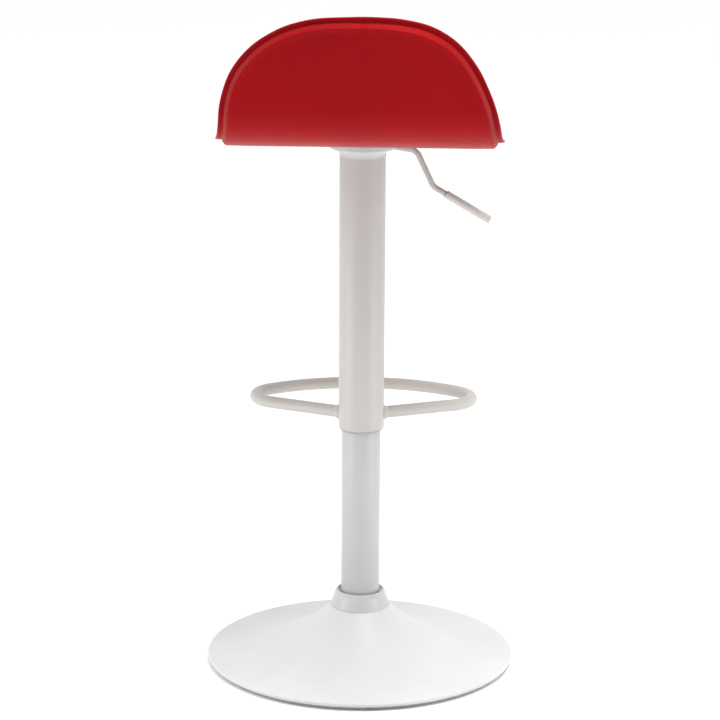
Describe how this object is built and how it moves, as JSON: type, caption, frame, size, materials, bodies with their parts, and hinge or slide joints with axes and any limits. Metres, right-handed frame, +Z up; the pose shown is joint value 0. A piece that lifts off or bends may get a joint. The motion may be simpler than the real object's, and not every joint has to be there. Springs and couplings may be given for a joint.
{
  "type": "adjustable swivel stool",
  "caption": "Height-adjustable swivel bar stool with a trumpet floor base, sleeved column, D-shaped footrest, side lever and a bent low-back padded seat.",
  "frame": {"origin": "column axis at the floor, in the middle of the base", "axes": "+Z up along the column; the sitter faces +Y and the low back is at -Y; the height lever is on +X"},
  "size_m": [0.408, 0.408, 0.895],
  "materials": {
    "paint_white": "satin powder coat",
    "paint_column": "satin powder coat",
    "paint_cover": "fine textured powder coat",
    "paint_black": "satin",
    "plastic_white": "fine moulded texture",
    "plastic_greige": "satin",
    "grip_plastic": "satin",
    "plastic_black": "matte",
    "rubber_black": "matte",
    "rubber_grey": "matte",
    "cast_ballast": "rough",
    "steel_plain": "plain",
    "steel_bright": "ground",
    "brass": "turned",
    "plywood": "raw",
    "foam": "open cell foam",
    "leather_red": "fine grain faux leather"
  },
  "bodies": {
    "base": {"base_shell": "paint_white", "bottom_cover": "plastic_black", "ballast_disc": "cast_ballast", "floor_ring": "rubber_grey", "base_hub": "steel_plain", "base_collar": "plastic_white", "lower_tube": "paint_column", "tube_end_plate": "steel_plain", "tube_guide_bush": "plastic_black", "thrust_washer_lower": "steel_plain", "thrust_ball_cage": "plastic_black", "thrust_balls": "steel_bright"},
    "rod": {"piston_rod": "steel_bright", "piston": "brass", "piston_seal": "rubber_black", "thrust_washer_upper": "steel_plain", "bump_stop": "rubber_black", "rod_clip": "steel_plain"},
    "carriage": {"gas_cylinder": "paint_black", "cylinder_end_guide": "brass", "rod_seal": "rubber_black", "valve_body": "brass", "cover_tube": "paint_cover", "cover_slide_ring": "plastic_greige", "cover_hanger": "steel_plain", "footrest_ring": "paint_cover", "footrest_welds": "paint_cover", "top_collar": "plastic_white", "socket_hub": "steel_plain", "lever_bracket": "steel_plain", "lever_pivot_pin": "steel_bright", "seat_plate": "paint_white", "plate_bolts": "steel_plain", "bolt_washers": "steel_plain", "tee_nuts": "steel_plain", "seat_board": "plywood", "rear_padding": "foam", "seat_foam": "foam", "seat_cover_top": "leather_red", "seat_cover_back": "leather_red", "seat_seam_flange": "leather_red"},
    "lever": {"lever_rod": "paint_cover", "lever_grip": "grip_plastic"},
    "valve": {"valve_pin": "steel_bright"}
  },
  "joints": [
    {"name": "swivel", "type": "hinge", "parent": "base", "child": "rod", "pos_m": [0, 0, 0.0246], "axis": [0, 0, 1], "continuous": true},
    {"name": "lift", "type": "slide", "parent": "rod", "child": "carriage", "axis": [0, 0, 1], "range_m": [-0.21, 0]},
    {"name": "lever_pull", "type": "hinge", "parent": "carriage", "child": "lever", "pos_m": [0.026, 0, 0.7015], "axis": [0, -1, 0], "range_deg": [0, 8], "stiffness_Nm_per_rad": 6, "springref_deg": -5.73},
    {"name": "valve_press", "type": "slide", "parent": "carriage", "child": "valve", "axis": [0, 0, -1], "range_m": [0, 0.0042]}
  ],
  "couplings": [
    {"joint": "valve_press", "follows": "lever_pull", "m_per_rad": 0.026}
  ]
}
